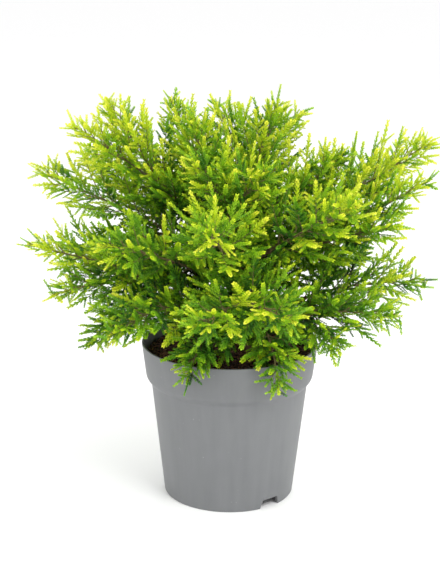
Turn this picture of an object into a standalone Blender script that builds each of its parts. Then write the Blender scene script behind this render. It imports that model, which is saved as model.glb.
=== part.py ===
"""A golden dwarf conifer, 41 cm tall over all, growing in a round grey nursery pot.

Units are metres, +Z is up, and the origin is on the pot's axis at its flat underside.
The pot and its compost are turned shapes. A short leaning trunk stands on the compost
and carries boughs. At the tip of a bough one or two plumes of foliage begin, each a
stem with side twigs and three-pointed sprays, grown by one seeded rule and fused.
"""

import math

import bmesh
import bpy
import numpy as np

# Driving sizes of the pot
RIM_RADIUS = 0.0861
RIM_HEIGHT = 0.1536
RIM_ROUND = 0.0009
BAND_FOOT_RADIUS = 0.0816
BAND_FOOT_HEIGHT = 0.1195
BODY_TOP_RADIUS = 0.0767
BODY_TOP_HEIGHT = 0.1138
BASE_RADIUS = 0.0638
WALL = 0.0020
FLOOR_UNDERSIDE = 0.0100
FLOOR_TOP = 0.0122
FOOT_RING_WIDTH = 0.0034
POT_SIDES = 36

NOTCH_BEARINGS = (-51.0, 129.0)
NOTCH_WIDTH = 0.0240
NOTCH_TOP_WIDTH = 0.0180
NOTCH_HEIGHT = 0.0092
DRAIN_HOLES = 5
DRAIN_CIRCLE = 0.0380
DRAIN_RADIUS = 0.0055

# The compost inside it
GAP = 0.0003
COMPOST_LEVEL = 0.1432
COMPOST_DOME = 0.0016
COMPOST_BUMP = 0.0011
COMPOST_SIDES = 20
COMPOST_RINGS = (0.35, 0.70)

# The trunk, from its cut foot on the compost to its fork
TRUNK_FOOT = (0.0220, 0.0060)
TRUNK_BEND = (0.0100, 0.0080, 0.2050)
TRUNK_TOP = (-0.0060, 0.0040, 0.2560)
TRUNK_RADIUS = 0.0078
TRUNK_TOP_RADIUS = 0.0048
ROOT_FLARE = 0.0042
FLARE_HEIGHT = 0.0100
TRUNK_SIDES = 9
TRUNK_RINGS = 9

# Boughs and plumes
LOWEST_FORK = 0.1590
HIGHEST_FORK = 0.2470
BARE_SHARE = 0.30
BEND_OUTWARD = 0.36
BOUGH_RADIUS = 0.0031
BOUGH_TIP_RADIUS = 0.0021
BOUGH_SIDES = 5
BOUGH_RINGS = 4
STEM_RADIUS = 0.0014
STEM_TIP_RADIUS = 0.0007
STEM_RINGS = 5
TWIN_STEM_OFFSET = 0.00165

# A plume's twigs and its three-pointed sprays
TWIG_SPACING = 0.0130
TWIG_MOST = 8
TWIG_FEWEST = 6
TWIG_REACH = 0.0540
TWIG_RADIUS = 0.0006
TWIG_BASE_ANGLE = 56.0
TWIG_TIP_ANGLE = 32.0
GOLDEN_ANGLE = 137.5
PLUME_FLATNESS = 0.75
SPRAY_LENGTH = 0.0450
SPRAY_HALF_WIDTH = 0.0155
SPRAY_HALF_THICKNESS = 0.0011
SPRAY_SINK = 0.0002
SIZES_TRIED = (1.0, 0.8, 0.62, 0.48)
SHORTEST_SPRAY = 0.0130
NEIGHBOUR_MARGIN = 0.0016
LIMB_CLEARANCE = 0.0009
POT_CLEARANCE = 0.0020
SEED = 41

# Every limb that leaves the trunk, from the lowest to the highest. Each row gives its
# name, whether a bare bough carries it, how far it arches as a share of its run, and
# the tip of each plume: bearing from +X in degrees, reach from the axis and height.
LIMBS = (
    ("skirt_1", False, 0.62, ((296, 0.103, 0.131),)),
    ("skirt_2", False, 0.52, ((247, 0.103, 0.141),)),
    ("lower_1", True, 0.22, ((352, 0.189, 0.222),)),
    ("lower_2", False, 0.42, ((176, 0.140, 0.142),)),
    ("lower_3", True, 0.20, ((101, 0.180, 0.212), (74, 0.172, 0.184))),
    ("lower_4", True, 0.20, ((338, 0.173, 0.200), (316, 0.140, 0.172))),
    ("lower_5", False, 0.22, ((226, 0.160, 0.192),)),
    ("lower_6", True, 0.20, ((155, 0.188, 0.222), (128, 0.176, 0.186))),
    ("lower_7", True, 0.20, ((40, 0.182, 0.206),)),
    ("lower_8", True, 0.16, ((288, 0.180, 0.226), (258, 0.172, 0.216))),
    ("lower_9", True, 0.12, ((183, 0.195, 0.253), (197, 0.177, 0.212))),
    ("middle_1", True, 0.10, ((66, 0.188, 0.286),)),
    ("middle_2", True, 0.12, ((222, 0.160, 0.277),)),
    ("middle_3", True, 0.10, ((347, 0.189, 0.326), (333, 0.173, 0.289))),
    ("middle_4", True, 0.08, ((108, 0.186, 0.304),)),
    ("middle_5", True, 0.08, ((263, 0.178, 0.308),)),
    ("middle_6", True, 0.08, ((26, 0.188, 0.322),)),
    ("middle_7", True, 0.08, ((146, 0.182, 0.318),)),
    ("middle_8", True, 0.08, ((312, 0.166, 0.318),)),
    ("middle_9", True, 0.08, ((179, 0.187, 0.322),)),
    ("middle_10", True, 0.00, ((0, 0.192, 0.355),)),
    ("upper_1", True, 0.04, ((246, 0.090, 0.350), (290, 0.098, 0.345))),
    ("upper_2", False, 0.04, ((350, 0.108, 0.347),)),
    ("upper_3", True, 0.02, ((100, 0.105, 0.374), (52, 0.118, 0.366))),
    ("upper_4", True, 0.02, ((176, 0.120, 0.389), (192, 0.153, 0.372))),
    ("upper_5", False, 0.00, ((140, 0.078, 0.386),)),
    ("upper_6", False, 0.00, ((30, 0.052, 0.388),)),
    ("upper_7", False, 0.00, ((222, 0.050, 0.381),)),
)

POT_GREY = (0.235, 0.240, 0.245)
COMPOST_BROWN = (0.085, 0.046, 0.028)
BARK_BROWN = (0.190, 0.115, 0.070)
SHOOT_GREEN = (0.085, 0.170, 0.030)
SHOOT_YELLOW = (0.420, 0.450, 0.050)


# Small vector helpers

def unit(vector):
    return vector / np.linalg.norm(vector)


def across(vector):
    """A level direction square to the vector."""
    level = np.cross((0.0, 0.0, 1.0), vector)
    if np.linalg.norm(level) < 1e-6:
        return np.array((1.0, 0.0, 0.0))
    return unit(level)


def at_bearing(degrees, reach, height):
    angle = math.radians(degrees)
    return np.array((reach * math.cos(angle), reach * math.sin(angle), height))


def bezier(start, bend, end, share):
    """Points of a three-point curve at the given shares of its way."""
    share = np.atleast_1d(share)[:, None]
    return (1 - share) ** 2 * start + 2 * share * (1 - share) * bend + share ** 2 * end


def bezier_direction(start, bend, end, share):
    return unit((1 - share) * (bend - start) + share * (end - bend))


# Meshes, objects and materials

def material(name, colour, roughness):
    finish = bpy.data.materials.new(name)
    finish.use_nodes = True
    shader = finish.node_tree.nodes["Principled BSDF"]
    shader.inputs["Base Color"].default_value = (*colour, 1.0)
    shader.inputs["Roughness"].default_value = roughness
    shader.inputs["Metallic"].default_value = 0.0
    finish.diffuse_color = (*colour, 1.0)
    return finish


def new_object(name, mesh, collection=None):
    made = bpy.data.objects.new(name, mesh)
    (collection or bpy.context.scene.collection).objects.link(made)
    return made


def mesh_of(bm):
    mesh = bpy.data.meshes.new("mesh")
    bmesh.ops.recalc_face_normals(bm, faces=bm.faces)
    bm.to_mesh(mesh)
    bm.free()
    return mesh


def turned(profile, sides):
    """A solid turned about Z from (radius, height) points that end on the axis."""
    bm = bmesh.new()
    points = [bm.verts.new((radius, 0.0, height)) for radius, height in profile]
    edges = [bm.edges.new(pair) for pair in zip(points, points[1:])]
    bmesh.ops.spin(bm, geom=points + edges, cent=(0, 0, 0), axis=(0, 0, 1),
                   angle=2 * math.pi, steps=sides, use_merge=True, use_duplicate=False)
    bmesh.ops.remove_doubles(bm, verts=bm.verts, dist=1e-6)
    return mesh_of(bm)


def tube(points, radii, sides, pointed=False):
    """A tapering limb along the points, with flat ends or one pointed end."""
    bm = bmesh.new()
    steps = np.gradient(points, axis=0)
    side = across(steps[0])
    rings = []
    for place, step, radius in zip(points, steps, radii):
        ahead = unit(step)
        side = unit(side - ahead * side.dot(ahead))
        over = np.cross(ahead, side)
        turns = np.arange(sides) * 2 * math.pi / sides
        rings.append([bm.verts.new(place + radius * (math.cos(a) * side + math.sin(a) * over))
                      for a in turns])
    if pointed:
        tip = bm.verts.new(points[-1] + (points[-1] - points[-2]) * 1e-3)
        for vert in rings.pop():
            bm.verts.remove(vert)
    for low, high in zip(rings, rings[1:]):
        for i in range(sides):
            j = (i + 1) % sides
            bm.faces.new((low[i], low[j], high[j], high[i]))
    bm.faces.new(reversed(rings[0]))
    if pointed:
        for i in range(sides):
            bm.faces.new((rings[-1][i], rings[-1][(i + 1) % sides], tip))
    else:
        bm.faces.new(rings[-1])
    return mesh_of(bm)


def spray_points(root, ahead, side, length):
    """Outline and two faces' middles of a three-pointed spray: two side shoots and a tip."""
    over = np.cross(ahead, side)
    scale = length / SPRAY_LENGTH
    half = SPRAY_HALF_WIDTH * scale
    thick = SPRAY_HALF_THICKNESS * scale
    outline = [root - ahead * SPRAY_SINK]
    outline += [root + ahead * length * along + side * half * out
                for along, out in ((0.56, 1.0), (0.54, 0.30), (1.0, 0.0), (0.54, -0.30), (0.56, -1.0))]
    middle = root + ahead * length * 0.42
    return outline, (middle + over * thick, middle - over * thick)


def spray(root, ahead, side, length):
    outline, middles = spray_points(root, ahead, side, length)
    bm = bmesh.new()
    ring = [bm.verts.new(point) for point in outline]
    for middle in middles:
        apex = bm.verts.new(middle)
        for i, vert in enumerate(ring):
            bm.faces.new((vert, ring[(i + 1) % len(ring)], apex))
    return mesh_of(bm)


def largest_body(mesh):
    """Keep the largest connected body of a mesh, without loose scraps and sealed hollows."""
    bm = bmesh.new()
    bm.from_mesh(mesh)
    left = set(bm.verts)
    bodies = []
    while left:
        body = {left.pop()}
        edge = list(body)
        while edge:
            vert = edge.pop()
            for link in vert.link_edges:
                other = link.other_vert(vert)
                if other in left:
                    left.remove(other)
                    body.add(other)
                    edge.append(other)
        bodies.append(body)
    bodies.sort(key=len, reverse=True)
    scraps = [vert for body in bodies[1:] for vert in body]
    bmesh.ops.delete(bm, geom=scraps, context="VERTS")
    bm.to_mesh(mesh)
    bm.free()


def fuse(name, pieces):
    """Join closed pieces to one body by a Boolean union on a collection."""
    others = bpy.data.collections.new("pieces")
    bpy.context.scene.collection.children.link(others)
    body = new_object(name, pieces[0])
    for piece in pieces[1:]:
        new_object("piece", piece, others)
    union = body.modifiers.new("fuse", "BOOLEAN")
    union.operation = "UNION"
    union.operand_type = "COLLECTION"
    union.collection = others
    union.solver = "MANIFOLD"
    view = bpy.context.evaluated_depsgraph_get()
    fused = bpy.data.meshes.new_from_object(body.evaluated_get(view))
    body.modifiers.remove(union)
    fused.materials.clear()
    body.data = fused
    for piece in list(others.objects):
        bpy.data.objects.remove(piece)
    bpy.data.collections.remove(others)
    largest_body(fused)
    return body


def cut(body, cutter):
    cutter.hide_render = True
    cutter.display_type = "WIRE"
    modifier = body.modifiers.new(cutter.name, "BOOLEAN")
    modifier.operation = "DIFFERENCE"
    modifier.object = cutter
    modifier.solver = "EXACT"


# The pot and its compost

def outer_wall():
    """The pot's outside from foot to rim, as (radius, height)."""
    shoulder = 0.5 * (BODY_TOP_RADIUS + BAND_FOOT_RADIUS)
    shoulder_height = BODY_TOP_HEIGHT + 0.38 * (BAND_FOOT_HEIGHT - BODY_TOP_HEIGHT)
    return [
        (BASE_RADIUS, 0.0),
        (BODY_TOP_RADIUS, BODY_TOP_HEIGHT),
        (shoulder, shoulder_height),
        (BAND_FOOT_RADIUS, BAND_FOOT_HEIGHT),
        (RIM_RADIUS, RIM_HEIGHT - RIM_ROUND),
    ]


def inner_wall(inset):
    """The pot's inside from floor to rim, as (radius, height), moved inwards by the inset."""
    slope = (BODY_TOP_RADIUS - BASE_RADIUS) / BODY_TOP_HEIGHT
    floor_radius = BASE_RADIUS + slope * FLOOR_TOP
    wall = [(floor_radius, FLOOR_TOP)] + outer_wall()[1:]
    return [(radius - inset, height) for radius, height in wall]


def wall_radius_at(height, inset):
    radii, heights = zip(*inner_wall(inset))
    return float(np.interp(height, heights, radii))


def build_pot():
    ring_inside = BASE_RADIUS - FOOT_RING_WIDTH
    profile = [(0.0, FLOOR_UNDERSIDE), (ring_inside + 0.0008, FLOOR_UNDERSIDE), (ring_inside, 0.0)]
    profile += outer_wall()
    profile += [(RIM_RADIUS - RIM_ROUND, RIM_HEIGHT), (RIM_RADIUS - WALL, RIM_HEIGHT)]
    profile += reversed(inner_wall(WALL)[:-1])
    profile += [(0.0, FLOOR_TOP)]
    pot = new_object("pot", turned(profile, POT_SIDES))
    pot.data.materials.append(material("pot_plastic", POT_GREY, 0.55))
    pot.data.shade_smooth()
    pot.data.set_sharp_from_angle(angle=math.radians(30))
    for number, bearing in enumerate(NOTCH_BEARINGS, 1):
        cut(pot, notch_cutter(number, bearing))
    cut(pot, drain_cutter())
    return pot


def notch_cutter(number, bearing):
    """A wedge that opens the foot ring to one side of the pot."""
    inner = BASE_RADIUS - 2.2 * FOOT_RING_WIDTH
    outer = BASE_RADIUS + 0.01
    below = -0.002
    bm = bmesh.new()
    rings = []
    for radius in (inner, outer):
        low = 0.5 * NOTCH_WIDTH
        high = 0.5 * NOTCH_TOP_WIDTH
        corners = ((-low, below), (low, below), (high, NOTCH_HEIGHT), (-high, NOTCH_HEIGHT))
        rings.append([bm.verts.new((radius, y, z)) for y, z in corners])
    bm.faces.new(rings[0])
    bm.faces.new(reversed(rings[1]))
    for i in range(4):
        j = (i + 1) % 4
        bm.faces.new((rings[0][i], rings[1][i], rings[1][j], rings[0][j]))
    cutter = new_object("notch_cutter_%d" % number, mesh_of(bm))
    cutter.rotation_euler[2] = math.radians(bearing)
    return cutter


def drain_cutter():
    """Round plugs in a ring, through the floor."""
    bm = bmesh.new()
    for number in range(DRAIN_HOLES):
        made = bmesh.ops.create_cone(bm, cap_ends=True, segments=8, radius1=DRAIN_RADIUS,
                                     radius2=DRAIN_RADIUS, depth=4 * (FLOOR_TOP - FLOOR_UNDERSIDE))
        place = at_bearing(number * 360 / DRAIN_HOLES, DRAIN_CIRCLE,
                           0.5 * (FLOOR_TOP + FLOOR_UNDERSIDE))
        bmesh.ops.translate(bm, verts=made["verts"], vec=place)
    return new_object("drain_cutter", mesh_of(bm))


def build_compost():
    """The compost: a plug that fills the pot, with a low uneven dome on top."""
    flat_of_wall = RIM_RADIUS * (1 - math.cos(math.pi / POT_SIDES))
    inset = WALL + GAP + flat_of_wall
    level = COMPOST_LEVEL
    wall = [(radius, height) for radius, height in inner_wall(inset) if height < level]
    wall[0] = (wall[0][0], FLOOR_TOP + GAP)
    edge = wall_radius_at(level, inset)
    profile = [(0.0, FLOOR_TOP + GAP)] + wall + [(edge, level)]
    profile += [(edge * share, level) for share in reversed(COMPOST_RINGS)]
    profile += [(0.0, level)]
    mesh = turned(profile, COMPOST_SIDES)
    draw = np.random.default_rng(SEED)
    for vert in mesh.vertices:
        radius = math.hypot(vert.co.x, vert.co.y)
        if vert.co.z > level - 1e-6 and radius < edge - 1e-6:
            from_trunk = math.hypot(vert.co.x - TRUNK_FOOT[0], vert.co.y - TRUNK_FOOT[1])
            if from_trunk > 0.030:
                rise = COMPOST_DOME * (1 - radius / edge)
                vert.co.z += rise + COMPOST_BUMP * draw.uniform(-1.0, 1.0)
    compost = new_object("compost", mesh)
    mesh.materials.append(material("compost_bark", COMPOST_BROWN, 0.95))
    return compost


# The trunk and boughs

def trunk_ends():
    foot = np.array((*TRUNK_FOOT, COMPOST_LEVEL + GAP))
    return foot, np.array(TRUNK_BEND), np.array(TRUNK_TOP)


def trunk_radius(share):
    rise = share * (TRUNK_TOP[2] - COMPOST_LEVEL)
    taper = TRUNK_RADIUS + (TRUNK_TOP_RADIUS - TRUNK_RADIUS) * share
    return taper + ROOT_FLARE * np.exp(-rise / FLARE_HEIGHT)


def trunk_mesh(extra):
    shares = np.linspace(0.0, 1.0, TRUNK_RINGS) ** 1.3
    points = bezier(*trunk_ends(), shares)
    points[1, :2] = points[0, :2] + 0.3 * (points[1, :2] - points[0, :2])
    radii = trunk_radius(shares) + extra
    if extra:
        points[0, 2] -= extra
        points[-1] += extra * bezier_direction(*trunk_ends(), 1.0)
    return level_foot(tube(points, radii, TRUNK_SIDES), points[0])


def level_foot(mesh, foot):
    """Lay the lowest ring of a limb flat on the level of its foot."""
    for vert in list(mesh.vertices)[:TRUNK_SIDES]:
        vert.co.z = foot[2]
    return mesh


def build_trunk():
    trunk = new_object("trunk", trunk_mesh(0.0))
    trunk.data.materials.append(material("bark", BARK_BROWN, 0.9))
    trunk.data.shade_smooth()
    trunk.data.set_sharp_from_angle(angle=math.radians(50))
    return trunk


def limb_curve(number, arch, tips):
    """The curve from the trunk's axis towards the middle of a limb's plume tips."""
    share = number / (len(LIMBS) - 1)
    height = LOWEST_FORK + (HIGHEST_FORK - LOWEST_FORK) * share
    foot, bend, top = trunk_ends()
    along = (height - foot[2]) / (top[2] - foot[2])
    start = bezier(foot, bend, top, along)[0]
    goal = np.mean([at_bearing(*tip) for tip in tips], axis=0)
    run = math.hypot(*(goal - start)[:2])
    middle = start + (0.5 + BEND_OUTWARD * arch) * (goal - start)
    middle[2] = 0.5 * (start[2] + goal[2]) + arch * run
    return start, middle, goal


def plume_curves(number, bare, arch, tips):
    """Each plume's stem as a three-point curve, with the bough's end where there is one."""
    start, middle, goal = limb_curve(number, arch, tips)
    if bare:
        leave = bezier(start, middle, goal, BARE_SHARE)[0]
        ahead = bezier_direction(start, middle, goal, BARE_SHARE)
        leave = leave + ahead * GAP
    else:
        leave = start
        ahead = bezier_direction(start, middle, goal, 0.0)
    curves = []
    for order, tip in enumerate(tips):
        end = at_bearing(*tip)
        toward = end - goal
        offset = np.zeros(3)
        if len(tips) > 1:
            sideways = unit(toward - ahead * toward.dot(ahead))
            offset = sideways * TWIN_STEM_OFFSET
        begin = leave + offset
        reach = np.linalg.norm(end - begin)
        if bare:
            bend = begin + ahead * 0.42 * reach
        else:
            bend = middle
        curves.append((begin, bend, end))
    return curves


def build_bough(name, number, arch, tips, trunk_clear):
    start, middle, goal = limb_curve(number, arch, tips)
    shares = np.linspace(0.0, BARE_SHARE, BOUGH_RINGS)
    points = bezier(start, middle, goal, shares)
    radii = np.linspace(BOUGH_RADIUS, BOUGH_TIP_RADIUS + 0.0003 * (len(tips) - 1), BOUGH_RINGS)
    bough = new_object("bough_" + name, tube(points, radii, BOUGH_SIDES))
    bough.data.materials.append(bpy.data.materials["bark"])
    cut(bough, trunk_clear)
    return bough


# The plumes

def chain_distance(points, chains):
    """Distance from each point to each chain of straight pieces."""
    starts, ends = chains[:, :-1], chains[:, 1:]
    run = ends - starts
    away = points[:, None, None, :] - starts[None]
    along = np.clip((away * run).sum(-1) / (run * run).sum(-1), 0.0, 1.0)
    return np.linalg.norm(away - along[..., None] * run[None], axis=-1)


class Space:
    """What is already taken: other plumes' stems, the limbs, the pot and the compost."""

    def __init__(self):
        shares = np.linspace(0.0, 1.0, 13)
        self.stems = []
        limbs = []
        self.limb_radii = []
        for number, (name, bare, arch, tips) in enumerate(LIMBS):
            for curve in plume_curves(number, bare, arch, tips):
                self.stems.append(bezier(*curve, shares))
            if bare:
                limbs.append(bezier(*limb_curve(number, arch, tips), shares * BARE_SHARE))
                self.limb_radii.append(BOUGH_RADIUS)
        limbs.append(bezier(*trunk_ends(), shares))
        self.limb_radii.append(TRUNK_RADIUS)
        self.stems = np.array(self.stems)
        self.limbs = np.array(limbs)
        self.limb_radii = np.array(self.limb_radii)

    def from_stems(self, owner, points):
        """Distances from the points to their own stem and to the nearest other one."""
        to_stems = chain_distance(points, self.stems).min(-1)
        return to_stems[:, owner], np.delete(to_stems, owner, axis=1).min(-1)

    def from_limbs(self, points):
        return (chain_distance(points, self.limbs).min(-1) - self.limb_radii).min(-1)

    def allows(self, owner, points):
        points = np.array(points)
        own, others = self.from_stems(owner, points)
        if np.any(others - own < NEIGHBOUR_MARGIN):
            return False
        if np.any(self.from_limbs(points) < LIMB_CLEARANCE):
            return False
        return bool(np.all(clear_of_pot(points)))


def clear_of_pot(points):
    radius = np.hypot(points[:, 0], points[:, 1])
    height = points[:, 2]
    inside = radius < RIM_RADIUS - WALL - POT_CLEARANCE
    outside = radius > RIM_RADIUS + POT_CLEARANCE
    over_compost = height > COMPOST_LEVEL + COMPOST_DOME + POT_CLEARANCE
    return outside | (height > RIM_HEIGHT + POT_CLEARANCE) | (inside & over_compost)


def halfway(points):
    points = np.array(points)
    return 0.5 * (points + np.roll(points, -1, axis=0))


def place_spray(space, owner, root, ahead, side, length, pieces):
    """Add a spray at the largest size that fits, or none."""
    for size in SIZES_TRIED:
        if size * length < SHORTEST_SPRAY:
            return False
        outline, middles = spray_points(root, ahead, side, size * length)
        if space.allows(owner, [*outline[1:], *halfway(outline)[1:-1], *middles]):
            pieces.append(spray(root, ahead, side, size * length))
            return True
    return False


def plume_pieces(space, owner, curve, draw):
    """The stem, twigs and sprays of one plume."""
    begin, bend, end = curve
    length = np.linalg.norm(bend - begin) + np.linalg.norm(end - bend)
    last = 1.0 - 0.55 * SPRAY_LENGTH / length
    shares = np.linspace(0.0, last, STEM_RINGS)
    radii = np.linspace(STEM_RADIUS, STEM_TIP_RADIUS, STEM_RINGS)
    pieces = [tube(bezier(begin, bend, end, shares), radii, 3)]
    tip_ahead = bezier_direction(begin, bend, end, 1.0)
    side = turn(across(tip_ahead), tip_ahead, draw.uniform(-40, 40))
    pieces.append(spray(end - tip_ahead * SPRAY_LENGTH, tip_ahead, side, SPRAY_LENGTH))
    count = int(min(TWIG_MOST, max(TWIG_FEWEST, round(length / TWIG_SPACING))))
    first_turn = draw.uniform(0, 360)
    for order in range(count):
        share = 0.06 + 0.80 * (order + 0.5) / count
        root = bezier(begin, bend, end, share)[0]
        branched = order % 2 == 0
        ahead = bezier_direction(begin, bend, end, share)
        level = across(ahead)
        over = np.cross(ahead, level)
        angle = math.radians(first_turn + order * GOLDEN_ANGLE)
        out = unit(math.cos(angle) * level + PLUME_FLATNESS * math.sin(angle) * over)
        lean = math.radians(TWIG_BASE_ANGLE + (TWIG_TIP_ANGLE - TWIG_BASE_ANGLE) * share)
        twig_ahead = unit(math.cos(lean) * ahead + math.sin(lean) * out + np.array((0, 0, 0.12)))
        reach = TWIG_REACH * twig_profile(share) * draw.uniform(0.85, 1.1)
        roll = draw.uniform(0, 180)
        side = turn(across(twig_ahead), twig_ahead, roll)
        if branched:
            turn_side = 1 if order % 4 else -1
            add_twig(space, owner, root, twig_ahead, reach, side, turn_side, pieces)
        else:
            place_spray(space, owner, root, twig_ahead, side, min(reach, 1.1 * SPRAY_LENGTH), pieces)
    return pieces


def twig_profile(share):
    """How long a twig is by its place on the stem: widest a third of the way up."""
    return 0.55 + 0.45 * math.sin(math.pi * min(1.0, 0.22 + share)) - 0.12 * share


def turn(vector, axis, degrees):
    angle = math.radians(degrees)
    return (vector * math.cos(angle) + np.cross(axis, vector) * math.sin(angle)
            + axis * axis.dot(vector) * (1 - math.cos(angle)))


def add_twig(space, owner, root, ahead, reach, side, turn_side, pieces):
    """A twig with a spray at its tip and one on its side, shortened until it fits."""
    for size in SIZES_TRIED:
        total = reach * size
        if total < SHORTEST_SPRAY + 0.004:
            return
        blade = min(SPRAY_LENGTH, 0.80 * total)
        woody = total - 0.45 * blade
        samples = root + ahead * np.linspace(0.3, 1.0, 6)[:, None] * woody
        outline, middles = spray_points(root + ahead * (total - blade), ahead, side, blade)
        points = [*samples, *outline[1:], *halfway(outline)[1:-1], *middles]
        if space.allows(owner, points):
            break
    else:
        return
    pieces.append(tube(np.array([root, root + ahead * woody]), (TWIG_RADIUS, 0.0), 3, pointed=True))
    pieces.append(spray(root + ahead * (total - blade), ahead, side, blade))
    if total > 0.024:
        aside = unit(math.cos(math.radians(42)) * ahead + turn_side * math.sin(math.radians(42)) * side)
        flat = turn(unit(np.cross(aside, np.cross(ahead, side))), aside, 35 * turn_side)
        place_spray(space, owner, root + ahead * 0.30 * total, aside, flat, 0.85 * blade, pieces)


def foliage_material(name, height, reach):
    """Greens that turn to yellow towards the top and the outside."""
    share = min(1.0, max(0.0, 0.55 * (height - 0.15) / 0.23 + 0.25 * reach / 0.19))
    colour = tuple(g + (y - g) * share for g, y in zip(SHOOT_GREEN, SHOOT_YELLOW))
    return material(name, colour, 0.6)


def build_plumes(trunk_clear):
    space = Space()
    owner = 0
    for number, (name, bare, arch, tips) in enumerate(LIMBS):
        for order, curve in enumerate(plume_curves(number, bare, arch, tips)):
            draw = np.random.default_rng(SEED + 100 + owner)
            node = "foliage_" + name + ("_" + "ab"[order] if len(tips) > 1 else "")
            plume = fuse(node, plume_pieces(space, owner, curve, draw))
            plume.data.materials.append(foliage_material(node, tips[order][2], tips[order][1]))
            if not bare:
                cut(plume, trunk_clear)
            owner += 1


def main():
    for old in list(bpy.data.objects):
        bpy.data.objects.remove(old)
    build_pot()
    build_compost()
    build_trunk()
    trunk_clear = new_object("trunk_clearance", trunk_mesh(GAP))
    for number, (name, bare, arch, tips) in enumerate(LIMBS):
        if bare:
            build_bough(name, number, arch, tips, trunk_clear)
    build_plumes(trunk_clear)


main()
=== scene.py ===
"""The looks of a potted golden dwarf conifer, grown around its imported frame.

Units are metres. The boughs and plumes follow the part's own rule, written again here,
and each plume is carried on to finer twigs and scaly shoots.
"""

import math

import bmesh
import bpy
import numpy as np
from mathutils import Matrix, Vector, noise


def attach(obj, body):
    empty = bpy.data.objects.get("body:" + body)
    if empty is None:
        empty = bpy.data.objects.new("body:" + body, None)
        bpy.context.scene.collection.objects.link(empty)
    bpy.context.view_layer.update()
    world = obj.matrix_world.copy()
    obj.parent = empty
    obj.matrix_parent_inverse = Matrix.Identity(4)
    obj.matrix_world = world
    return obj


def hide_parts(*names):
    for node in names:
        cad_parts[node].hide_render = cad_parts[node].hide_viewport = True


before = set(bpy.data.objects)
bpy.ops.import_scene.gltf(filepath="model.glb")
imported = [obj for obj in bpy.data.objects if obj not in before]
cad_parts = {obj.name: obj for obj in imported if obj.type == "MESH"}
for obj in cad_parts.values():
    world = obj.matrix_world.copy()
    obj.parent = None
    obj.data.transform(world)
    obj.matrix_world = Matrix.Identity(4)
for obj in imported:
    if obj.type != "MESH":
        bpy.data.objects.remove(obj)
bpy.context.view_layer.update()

# The pot, in the part's own sizes
RIM_RADIUS = 0.0861
RIM_HEIGHT = 0.1536
BAND_FOOT_RADIUS = 0.0816
BAND_FOOT_HEIGHT = 0.1195
BODY_TOP_RADIUS = 0.0767
BODY_TOP_HEIGHT = 0.1138
BASE_RADIUS = 0.0638
WALL = 0.0020
FLOOR_UNDERSIDE = 0.0100
FLOOR_TOP = 0.0122
FOOT_RING_WIDTH = 0.0034
FOOT_RING_DRAFT = 0.0008
NOTCH_BEARINGS = (-51.0, 129.0)
NOTCH_WIDTH = 0.0240
NOTCH_TOP_WIDTH = 0.0180
NOTCH_HEIGHT = 0.0092
NOTCH_DEPTH = 2.2 * FOOT_RING_WIDTH
CUTTER_OUTWARD = 0.0100
CUTTER_BELOW = 0.0020

# Its rounded edges: how far from the corner each curve begins, and how many points it has
FOOT_ROUND = (0.0009, 4)
SHOULDER_ROUND = (0.0016, 5)
BAND_FOOT_ROUND = (0.0028, 7)
RIM_ROUND = (0.0007, 4)
INNER_RIM_ROUND = (0.0006, 4)

# How finely it is turned, and which edges stay crisp
POT_SIDES = 144
POT_SHARP_ANGLE = 32
MERGE_DISTANCE = 1e-6

# The compost's rough top
COMPOST_LEVEL = 0.1432
COMPOST_FROM_WALL = 0.0022
COMPOST_CELLS = 110
COMPOST_TRIM = 0.985
COMPOST_SINK = 0.0004
COMPOST_ROUGHNESS = 0.0014
COMPOST_GRAIN = 95
COMPOST_NOISE = (0.7, 2.0, 4)
COMPOST_DEPTH = 0.0100

# Flakes and fibres of bark that lie on the compost
CHIP_COUNT = 2600
CHIP_CIRCLE = 0.955
FIBRE_SHARE = 0.45
FIBRE_LENGTHS = (0.0040, 0.0100)
FLAKE_LENGTHS = (0.0020, 0.0055)
FIBRE_WIDTHS = (0.0003, 0.0007)
FLAKE_WIDTHS = (0.0010, 0.0026)
CHIP_THICKNESSES = (0.0003, 0.0010)
CHIP_UNEVENNESS = (0.7, 1.2)
CHIP_PITCH = 0.28
CHIP_ROLL = 0.40
CHIP_RISE = 0.0014
RED_CHIP_SHARE = 0.38

# The trunk and the boughs, on the part's own curves
TRUNK_FOOT = (0.0220, 0.0060)
TRUNK_BEND = (0.0100, 0.0080, 0.2050)
TRUNK_TOP = (-0.0060, 0.0040, 0.2560)
TRUNK_RADIUS = 0.0078
TRUNK_TOP_RADIUS = 0.0048
ROOT_FLARE = 0.0042
FLARE_HEIGHT = 0.0100
LOWEST_FORK = 0.1590
HIGHEST_FORK = 0.2470
BARE_SHARE = 0.30
BEND_OUTWARD = 0.36
BOUGH_RADIUS = 0.0031
BOUGH_TIP_RADIUS = 0.0019

# Their bark: rings, sides, and a relief whose depth is a share of the limb's radius
TRUNK_RINGS = 70
TRUNK_SIDES = 26
TRUNK_RELIEF = 0.16
BOUGH_RINGS = 34
BOUGH_SIDES = 12
BOUGH_RELIEF = 0.14
BARK_GRAIN = (160, 160, 70)
BARK_NOISE = (0.6, 2.0, 3)
BARK_LEVEL = 0.1
BARK_SHIFT = 7.0

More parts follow.
